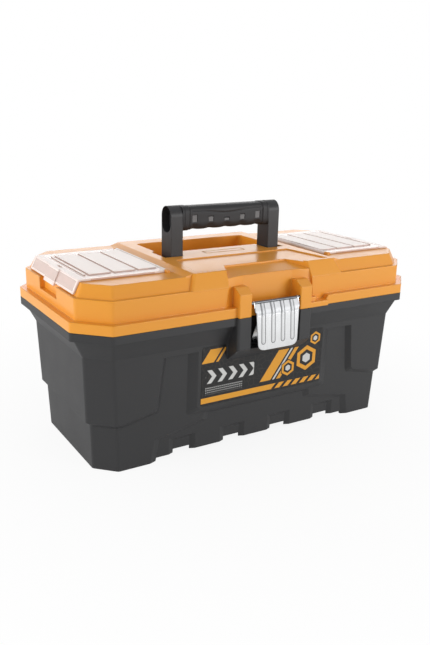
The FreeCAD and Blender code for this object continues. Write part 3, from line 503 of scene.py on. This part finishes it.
def shade(obj, degrees=40.0):
    """Smooth shading that keeps edges sharper than an angle."""
    obj.data.shade_smooth()
    obj.data.set_sharp_from_angle(angle=math.radians(degrees))


def tube_faces(count, rows):
    """Quads of a closed tube of rows, each with the same count of points."""
    faces = []
    for row in range(rows - 1):
        for step in range(count):
            after = (step + 1) % count
            faces.append((row * count + step, row * count + after,
                          (row + 1) * count + after, (row + 1) * count + step))
    return faces


print("mesh helpers ready")

# %% Grip sleeve
sleeve_low, sleeve_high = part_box("grip_sleeve")
grip_y = (sleeve_low[1] + sleeve_high[1]) / 2
grip_z = (sleeve_low[2] + sleeve_high[2]) / 2
grip_half_x = sleeve_high[0]
grip_half_y = 0.0103
grip_half_z = 0.0124
collar_start = grip_half_x - 0.008
window_pitch = 0.0198
window_half = 0.0028
window_depth = 0.0014
hollow_depth = 0.0009
hollow_reach = 0.0042
wave_depth = 0.0007
wave_width = 0.0008
wave_top = 0.2367
wave_drop = 0.0034
wave_reach = 0.036
windows = [((i - 2) * window_pitch, 0.2282 - 0.0022 * (1 - abs(i - 2) / 2),
            0.0033 + 0.0042 * abs(i - 2) / 2) for i in range(5)]
print("grip centre", round(grip_y, 4), round(grip_z, 4), "half length", round(grip_half_x, 4))


def section(angle):
    """Distance from the middle of the bar to its rounded outline."""
    power = 4.0
    total = abs(math.cos(angle) / grip_half_y) ** power + abs(math.sin(angle) / grip_half_z) ** power
    return total ** (-1 / power)


def grip_depth(x, y, z):
    """How far the surface is pushed in at a place on the bar. Negative is outward."""
    face = smooth(abs(y - grip_y), 0.0070, 0.0092)
    end = smooth(abs(x), collar_start, collar_start + 0.0007)
    push = -0.0005 * end
    for place in (collar_start - 0.0006, grip_half_x - 0.0022):
        push += 0.0004 * math.exp(-((abs(x) - place) / 0.0005) ** 2)
    inside = 1 - smooth(abs(x), collar_start - 0.0045, collar_start - 0.0015)
    for centre, middle, height in windows:
        across = abs(x - centre)
        frame_x = 1 - smooth(across, window_half - 0.0001, window_half + 0.0004)
        frame_z = 1 - smooth(abs(z - middle), height / 2 - 0.0001, height / 2 + 0.0004)
        push += window_depth * frame_x * frame_z * face
        hollow = math.exp(-(across / hollow_reach) ** 2) * inside
        below = 1 - smooth(z, middle - height / 2 - 0.0045, middle - height / 2 - 0.0008)
        push += hollow_depth * hollow * below
    wave = wave_top - wave_drop * 0.5 * (1 + math.cos(math.pi * min(1.0, abs(x) / wave_reach)))
    push += wave_depth * math.exp(-((z - wave) / wave_width) ** 2) * face * inside
    push += 0.0003 * smooth(wave - z, 0.0, 0.0015) * face * inside
    return push


def build_grip():
    count = 232
    rows = 340
    points = []
    for row in range(rows + 1):
        x = -grip_half_x + 2 * grip_half_x * row / rows
        for step in range(count):
            angle = 2 * math.pi * step / count
            radius = section(angle)
            y = grip_y + radius * math.cos(angle)
            z = grip_z + radius * math.sin(angle)
            push = grip_depth(x, y, z)
            points.append((x, y - push * math.cos(angle), z - push * math.sin(angle)))
    faces = tube_faces(count, rows + 1)
    faces.append(tuple(range(count)))
    faces.append(tuple(rows * count + step for step in reversed(range(count))))
    return points, faces


grip = make_mesh("grip_sleeve_soft", *build_grip(), soft_black)
shade(grip, 50.0)
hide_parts("grip_sleeve")
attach(grip, "handle")
print("grip faces", len(grip.data.polygons))

# %% [markdown]
# The latch lever is one piece of plated sheet: a head that bends over the rod, a knee, a flat skirt
# with round lower corners, and an ear folded back at each side. A plane with a Solidify modifier
# would come close, but the rim of stamped sheet is slightly rounded. So the sheet is again a grid,
# laid along a bent path and given its thickness by a second layer of points behind the first.

# %% Latch lever sheet
lever_low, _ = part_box("latch_lever")
rod_low, rod_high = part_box("latch_rod")
rod_y = (rod_low[1] + rod_high[1]) / 2
rod_z = (rod_low[2] + rod_high[2]) / 2
sheet = 0.001
head_half = 0.0271
skirt_half = 0.0260
skirt_taper = 0.0024
skirt_corner = 0.006
bend_radius = 0.0028
foot_z = lever_low[2]
knee_z = rod_z - 0.0089
foot_y = -0.1117
knee_y = -0.1093
print("rod at", round(rod_y, 4), round(rod_z, 4), "lever foot", round(foot_z, 4))


def bent_path(corners, radius, step):
    """Places along a line of corners whose bends are rounded."""
    places = []
    for index in range(len(corners) - 1):
        start, end = Vector(corners[index]), Vector(corners[index + 1])
        if index > 0:
            start = start + (end - start).normalized() * radius
        if index < len(corners) - 2:
            end = end - (end - start).normalized() * radius
        count = max(1, round((end - start).length / step))
        places += [start.lerp(end, i / count) for i in range(count + 1)]
        if index < len(corners) - 2:
            corner, after = Vector(corners[index + 1]), Vector(corners[index + 2])
            out = corner + (after - corner).normalized() * radius
            for i in range(1, 6):
                t = i / 6
                places.append(end * (1 - t) ** 2 + corner * 2 * t * (1 - t) + out * t ** 2)
    return places


lever_path = bent_path([(rod_y - 0.0023, rod_z - 0.0006), (knee_y, knee_z), (foot_y, foot_z)],
                       bend_radius, 0.0006)
print("path points", len(lever_path))


def half_width(z):
    """Half the width of the sheet at a height, with round lower corners."""
    if z > knee_z:
        return head_half
    half = skirt_half - skirt_taper * (knee_z - z) / (knee_z - foot_z)
    rest = z - foot_z
    if rest < skirt_corner:
        half -= skirt_corner - math.sqrt(max(0.0, skirt_corner ** 2 - (skirt_corner - rest) ** 2))
    return half


def outward(path, index):
    """Direction that stands square on a path, away from the box."""
    before = path[max(0, index - 1)]
    after = path[min(len(path) - 1, index + 1)]
    along = (after - before).normalized()
    return Vector((along[1], -along[0]))


def build_sheet():
    count = 96
    fronts, backs = [], []
    for index, place in enumerate(lever_path):
        out = outward(lever_path, index)
        half = half_width(place[1])
        for step in range(count + 1):
            x = half * (2 * step / count - 1)
            rim = smooth(abs(x), half - 0.0006, half)
            front = place - out * 0.00025 * rim
            back = place - out * (sheet - 0.0002 * rim)
            fronts.append((x, front[0], front[1]))
            backs.append((x, back[0], back[1]))
    return count, fronts, backs


def closed_sheet(count, fronts, backs):
    rows = len(fronts) // (count + 1)
    offset = len(fronts)
    faces = []
    for row in range(rows - 1):
        for step in range(count):
            a = row * (count + 1) + step
            b = a + count + 1
            faces.append((a, a + 1, b + 1, b))
            faces.append((offset + a, offset + b, offset + b + 1, offset + a + 1))
        for a in (row * (count + 1), row * (count + 1) + count):
            b = a + count + 1
            faces.append((a, b, offset + b, offset + a))
    for row in (0, rows - 1):
        for step in range(count):
            a = row * (count + 1) + step
            faces.append((a, a + 1, offset + a + 1, offset + a))
    return fronts + backs, faces


print("half width of head and skirt", head_half, skirt_half)

# %% [markdown]
# The plating is a mirror where it is flat. A grey line of painted shade runs round the foot of each
# rib, where the crease is, and stamping dulls the sheet above the knee, where the bend was pressed.
# The finish starts as a copy of the plated metal, and masks add both: the painted shade line follows
# the distance to a rib's middle line.

# %% Stamped sheet
rib_pitch = 0.0118
rib_half = 0.0022
rib_height = 0.0007
rib_end = foot_z + 0.0062
dull_start = knee_z - 0.004
dull_fade = 0.002


def stamped_sheet(name):
    """Plated sheet with painted shade lines round the ribs and a duller head."""
    material = plated.copy()
    material.name = name
    tree = material.node_tree
    shader = next(n for n in tree.nodes if n.type == "BSDF_PRINCIPLED")
    x, _, z = axes(tree)
    turn = math_node(tree, "FRACT", math_node(tree, "DIVIDE", x, rib_pitch))
    aside = math_node(tree, "MULTIPLY", math_node(tree, "SUBTRACT", turn, 0.5), rib_pitch)
    below = math_node(tree, "MAXIMUM", math_node(tree, "SUBTRACT", rib_end + rib_half, z), 0.0)
    spot = tree.nodes.new("ShaderNodeCombineXYZ")
    feed(tree, aside, spot, 0)
    feed(tree, below, spot, 1)
    reach = tree.nodes.new("ShaderNodeVectorMath")
    reach.operation = "LENGTH"
    link(tree, spot, 0, reach, 0)
    # Mask of a line round each rib's foot, where painted shade darkens the crease.
    line = band(tree, (reach, "Value"), rib_half - 0.0002, rib_half + 0.00045, 0.0003)
    inside = band(tree, math_node(tree, "ABSOLUTE", x), -1.0, 2 * rib_pitch - 0.0002)
    line = both(tree, both(tree, line, inside), 0.95)
    before = shader.inputs["Base Color"].links[0].from_socket
    head = step_up(tree, z, dull_start, dull_fade)
    dulled = mix_colour(tree, both(tree, head, 0.8), linear(226, 227, 228), linear(150, 151, 153))
    tree.links.new(before, dulled[0].inputs[6])
    polish = shader.inputs["Roughness"].links[0].from_socket
    matt = math_node(tree, "MULTIPLY_ADD", head, 0.3, 0.0)
    tree.links.new(polish, matt[0].inputs[2])
    feed(tree, matt, shader, "Roughness")
    # The grey here is painted shade in the creases round the ribs.
    mixed = mix_colour(tree, line, dulled, linear(96, 97, 99))
    feed(tree, mixed, shader, "Base Color")
    return material


stamped = stamped_sheet("latch_stamped_sheet")
lever = make_mesh("latch_lever_sheet", *closed_sheet(*build_sheet()), stamped)
shade(lever, 35.0)
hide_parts("latch_lever")
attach(lever, "latch")
print("lever faces", len(lever.data.polygons))

# %% [markdown]
# Each ear is a flat tab folded back from the head, with a round end that turns on the rod. Its
# outline is a few straight edges and an arc, pushed out to the sheet's thickness.

# %% Latch ears
ear_radius = 0.0022
ear_start = -110
ear_sweep = 250
ear_steps = 24


def ear_outline():
    """Side view of an ear: an arc round the rod, closed by the edges that meet the sheet."""
    arc = []
    for step in range(ear_steps + 1):
        angle = math.radians(ear_start + step * ear_sweep / ear_steps)
        arc.append((rod_y + ear_radius * math.cos(angle), rod_z + ear_radius * math.sin(angle)))
    return arc + [(rod_y - 0.0022, rod_z - 0.0004), (knee_y + 0.0005, knee_z + 0.0005)]


def build_ear(side, name):
    outline = ear_outline()
    inner = side * (head_half - sheet)
    outer = side * head_half
    count = len(outline)
    points = [(inner, y, z) for y, z in outline] + [(outer, y, z) for y, z in outline]
    faces = [tuple(range(count)), tuple(count + i for i in reversed(range(count)))]
    for i in range(count):
        after = (i + 1) % count
        faces.append((i, after, count + after, count + i))
    ear = make_mesh(name, points, faces, plated)
    edge = ear.modifiers.new("edge", "BEVEL")
    edge.width = 0.0002
    edge.segments = 2
    edge.limit_method = "ANGLE"
    shade(ear, 35.0)
    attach(ear, "latch")
    return ear


ears = [build_ear(-1, "latch_ear_left"), build_ear(1, "latch_ear_right")]
print("ears", [ear.name for ear in ears])

# %% [markdown]
# The lever is stiffened by ribs that all have one shape at one spacing. That is work for Geometry
# Nodes: one rib is modelled once, a Mesh Line lays out the places, Instance on Points sets a rib on
# each, and Realize Instances turns them into plain mesh. Count and pitch are inputs of the tree, so
# another latch would only need other numbers.

# %% One rib


def build_rib():
    """Raised ridge that follows the lever's path and has a round lower end."""
    count = 14
    points = []
    rows = 0
    for index, place in enumerate(lever_path):
        if place[1] < rib_end:
            continue
        out = outward(lever_path, index)
        rest = min(1.0, (place[1] - rib_end) / rib_half)
        swell = math.sqrt(max(0.02, 1 - (1 - rest) ** 2))
        width = rib_half * swell
        lift = rib_height * swell
        for step in range(count + 1):
            u = 2 * step / count - 1
            spot = place + out * (lift * (1 - abs(u) ** 3) - 0.0001)
            points.append((u * width, spot[0], spot[1]))
        for step in range(count + 1):
            u = 1 - 2 * step / count
            spot = place - out * 0.0005
            points.append((u * width, spot[0], spot[1]))
        rows += 1
    ring_count = 2 * (count + 1)
    faces = tube_faces(ring_count, rows)
    faces.append(tuple(range(ring_count)))
    faces.append(tuple((rows - 1) * ring_count + i for i in reversed(range(ring_count))))
    return make_mesh("rib_shape", points, faces, stamped)


rib_shape = build_rib()
print("rib faces", len(rib_shape.data.polygons))

# %% Rib row by Geometry Nodes


def row_tree(name):
    tree = bpy.data.node_groups.new(name, "GeometryNodeTree")
    face = tree.interface
    face.new_socket("Geometry", in_out="INPUT", socket_type="NodeSocketGeometry")
    face.new_socket("Shape", in_out="INPUT", socket_type="NodeSocketObject")
    face.new_socket("Count", in_out="INPUT", socket_type="NodeSocketInt")
    face.new_socket("Pitch", in_out="INPUT", socket_type="NodeSocketFloat")
    face.new_socket("Finish", in_out="INPUT", socket_type="NodeSocketMaterial")
    face.new_socket("Geometry", in_out="OUTPUT", socket_type="NodeSocketGeometry")
    inputs = tree.nodes.new("NodeGroupInput")
    outputs = tree.nodes.new("NodeGroupOutput")
    line = tree.nodes.new("GeometryNodeMeshLine")
    step = tree.nodes.new("ShaderNodeCombineXYZ")
    span = tree.nodes.new("ShaderNodeMath")
    span.operation = "MULTIPLY_ADD"
    span.inputs[1].default_value = -0.5
    span.inputs[2].default_value = 0.5
    first = tree.nodes.new("ShaderNodeMath")
    first.operation = "MULTIPLY"
    start = tree.nodes.new("ShaderNodeCombineXYZ")
    info = tree.nodes.new("GeometryNodeObjectInfo")
    place = tree.nodes.new("GeometryNodeInstanceOnPoints")
    real = tree.nodes.new("GeometryNodeRealizeInstances")
    finish = tree.nodes.new("GeometryNodeSetMaterial")
    wires = tree.links.new
    wires(inputs.outputs["Count"], line.inputs["Count"])
    wires(inputs.outputs["Pitch"], step.inputs["X"])
    wires(step.outputs[0], line.inputs["Offset"])
    wires(inputs.outputs["Count"], span.inputs[0])
    wires(span.outputs[0], first.inputs[0])
    wires(inputs.outputs["Pitch"], first.inputs[1])
    wires(first.outputs[0], start.inputs["X"])
    wires(start.outputs[0], line.inputs["Start Location"])
    wires(inputs.outputs["Shape"], info.inputs["Object"])
    wires(line.outputs["Mesh"], place.inputs["Points"])
    wires(info.outputs["Geometry"], place.inputs["Instance"])
    wires(place.outputs["Instances"], real.inputs["Geometry"])
    wires(real.outputs["Geometry"], finish.inputs["Geometry"])
    wires(inputs.outputs["Finish"], finish.inputs["Material"])
    wires(finish.outputs["Geometry"], outputs.inputs["Geometry"])
    return tree


def identifier(tree, name):
    return next(item.identifier for item in tree.interface.items_tree
                if item.name == name and item.in_out == "INPUT")


def run_tree(name, tree, values):
    """Runs a tree on an empty mesh and keeps the result as a plain mesh object."""
    carrier = bpy.data.objects.new("carrier", bpy.data.meshes.new("carrier"))
    bpy.context.scene.collection.objects.link(carrier)
    modifier = carrier.modifiers.new("tree", "NODES")
    modifier.node_group = tree
    for key, value in values.items():
        modifier[identifier(tree, key)] = value
    graph = bpy.context.evaluated_depsgraph_get()
    mesh = bpy.data.meshes.new_from_object(carrier.evaluated_get(graph))
    carrier.modifiers.remove(modifier)
    bpy.data.objects.remove(carrier)
    obj = bpy.data.objects.new(name, mesh)
    bpy.context.scene.collection.objects.link(obj)
    return obj


ribs = run_tree("latch_ribs", row_tree("row of shapes"),
                {"Shape": rib_shape, "Count": 4, "Pitch": rib_pitch, "Finish": stamped})
bpy.data.objects.remove(rib_shape)
shade(ribs, 60.0)
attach(ribs, "latch")
print("rib row faces", len(ribs.data.polygons), [m.name for m in ribs.data.materials])

# %% [markdown]
# The camera stands where the photographer's stood, a little to the left of the box and above it.

# %% Camera
camera_data = bpy.data.cameras.new("camera")
camera = bpy.data.objects.new("camera", camera_data)
bpy.context.scene.collection.objects.link(camera)
bpy.context.scene.camera = camera
camera.location = (-0.41028, -0.65656, 0.34203)
camera.rotation_euler = [math.radians(a) for a in (73.1033, -1.1504, -31.2737)]
camera_data.lens = 39.96
camera_data.clip_start = 0.01
print("camera at", tuple(round(v, 3) for v in camera.location))

# %% [markdown]
# The studio is a white room. The world shows plain white to the camera and a part of it to mirrors,
# while it lights the box only softly. Light Path tells the two kinds of ray apart, so the
# white ground costs no extra light on the box.

# %% World
scene = bpy.context.scene
scene.view_settings.view_transform = "Standard"


def seen_directly(tree):
    """One for rays from the camera or a clear piece, less for reflections, zero for others."""
    path = tree.nodes.new("ShaderNodeLightPath")
    shine = math_node(tree, "MULTIPLY", (path, "Is Glossy Ray"), 0.5)
    seen = math_node(tree, "MAXIMUM", (path, "Is Camera Ray"), shine)
    return math_node(tree, "MAXIMUM", seen, (path, "Is Transmission Ray"))


def white_for_camera(tree, lit, white):
    mix = tree.nodes.new("ShaderNodeMixShader")
    feed(tree, seen_directly(tree), mix, 0)
    tree.links.new(lit.outputs[0], mix.inputs[1])
    tree.links.new(white.outputs[0], mix.inputs[2])
    return mix


world = bpy.data.worlds.new("studio")
scene.world = world
world.use_nodes = True
sky = world.node_tree
sky.nodes.clear()
lit = add(sky, "ShaderNodeBackground", Color=(1, 1, 1, 1), Strength=0.52)
white = add(sky, "ShaderNodeBackground", Color=(1, 1, 1, 1), Strength=1.0)
out = sky.nodes.new("ShaderNodeOutputWorld")
sky.links.new(white_for_camera(sky, lit, white).outputs[0], out.inputs[0])

# %% [markdown]
# Two low lamps graze the box from its left and its right, and a weak one behind it puts the pale
# glare on the flat roof. The left one is kept out of reflections, or the roof would turn white for
# someone who looks from the right.

# %% Lamps
room_aim = (0, 0, 0.1)
side_size = (0.9, 0.6)


def lamp(name, place, aim, size, power):
    data = bpy.data.lights.new(name, "AREA")
    data.shape = "RECTANGLE"
    data.size, data.size_y = size
    data.energy = power
    obj = bpy.data.objects.new(name, data)
    scene.collection.objects.link(obj)
    obj.location = place
    obj.rotation_euler = (Vector(aim) - Vector(place)).to_track_quat("-Z", "Y").to_euler()
    return obj


left_lamp = lamp("left lamp", (-1.6, 0.15, 0.35), room_aim, side_size, 13.5)
left_lamp.visible_glossy = False
lamp("right lamp", (0.9, -1.4, 0.4), room_aim, side_size, 11.5)
lamp("back lamp", (0.65, 1.5, 0.55), (0, 0, 0.19), (2.0, 0.6), 6)

# %% [markdown]
# The floor is a matt pale plane that catches a soft shadow. It fades into plain white away from the
# box, by a glow that only the camera, mirrors and clear pieces see, so no edge shows.

# %% Floor
bpy.ops.mesh.primitive_plane_add(size=6, location=(0, 0, 0))
floor = bpy.context.object
floor.name = "floor"
floor_material, ft, floor_shader = new_material("studio_floor")
floor_shader.inputs["Base Color"].default_value = (0.92, 0.92, 0.92, 1)
floor_shader.inputs["Roughness"].default_value = 0.8
floor_shader.inputs["Specular IOR Level"].default_value = 0.1
glow = add(ft, "ShaderNodeEmission", Color=(1, 1, 1, 1), Strength=1.0)
place = coordinates(ft)
reach = ft.nodes.new("ShaderNodeVectorMath")
reach.operation = "LENGTH"
feed(ft, place, reach, 0)
fade = math_node(ft, "MULTIPLY_ADD", (reach, "Value"), 0.3, 0.86, clamp=True)
fade = math_node(ft, "MULTIPLY", fade, seen_directly(ft))
floor_mix = ft.nodes.new("ShaderNodeMixShader")
feed(ft, fade, floor_mix, 0)
ft.links.new(floor_shader.outputs[0], floor_mix.inputs[1])
ft.links.new(glow.outputs[0], floor_mix.inputs[2])
end = next(n for n in ft.nodes if n.type == "OUTPUT_MATERIAL")
ft.links.new(floor_mix.outputs[0], end.inputs["Surface"])
paint(floor, floor_material)
print("floor ready")
